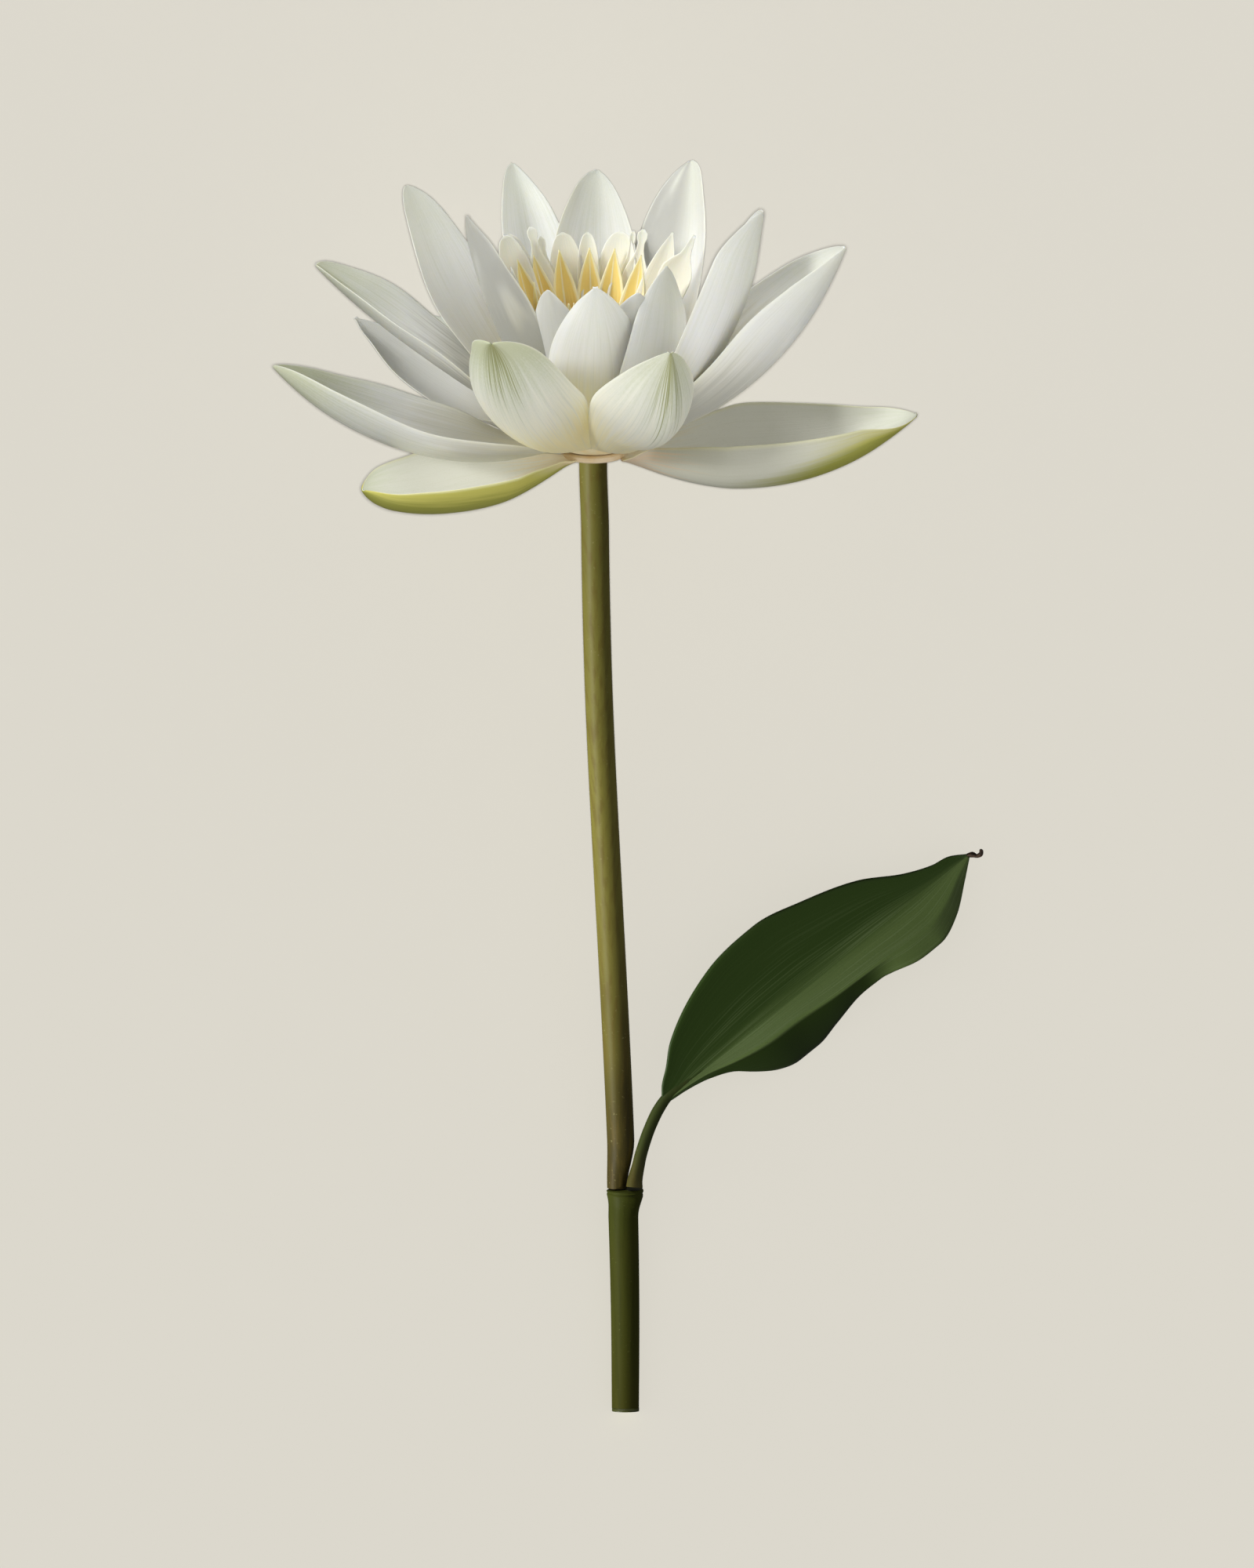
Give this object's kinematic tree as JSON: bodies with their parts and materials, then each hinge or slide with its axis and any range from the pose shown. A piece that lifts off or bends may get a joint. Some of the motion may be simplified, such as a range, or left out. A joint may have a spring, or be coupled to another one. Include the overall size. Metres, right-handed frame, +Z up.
{
  "type": "water lily flower",
  "caption": "Cut water lily lying on a table: layered pointed white petals, golden stamens, green-backed sepals, a curved olive stalk, dark lower stem and a folded lance-shaped leaf.",
  "frame": {"origin": "middle of the box that holds the flower, at the surface it lies on", "axes": "+X to the picture's right, +Y along the flower from the cut end to the bloom, +Z up from the surface it lies on"},
  "size_m": [0.1608, 0.2931, 0.1007],
  "materials": {
    "lower_stem": "satin",
    "stalk": "satin",
    "leaf": "satin",
    "sepal": "satin",
    "petal": "satin",
    "petaloid_stamen": "satin",
    "stamen": "matte",
    "stigma": "matte"
  },
  "bodies": {
    "root": {"lower_stem": "lower_stem", "flower_stalk": "stalk", "leaf": "leaf", "sepals": "sepal", "petals": "petal", "petaloid_stamens": "petaloid_stamen", "stamens": "stamen", "stigma_disc": "stigma"}
  },
  "joints": []
}
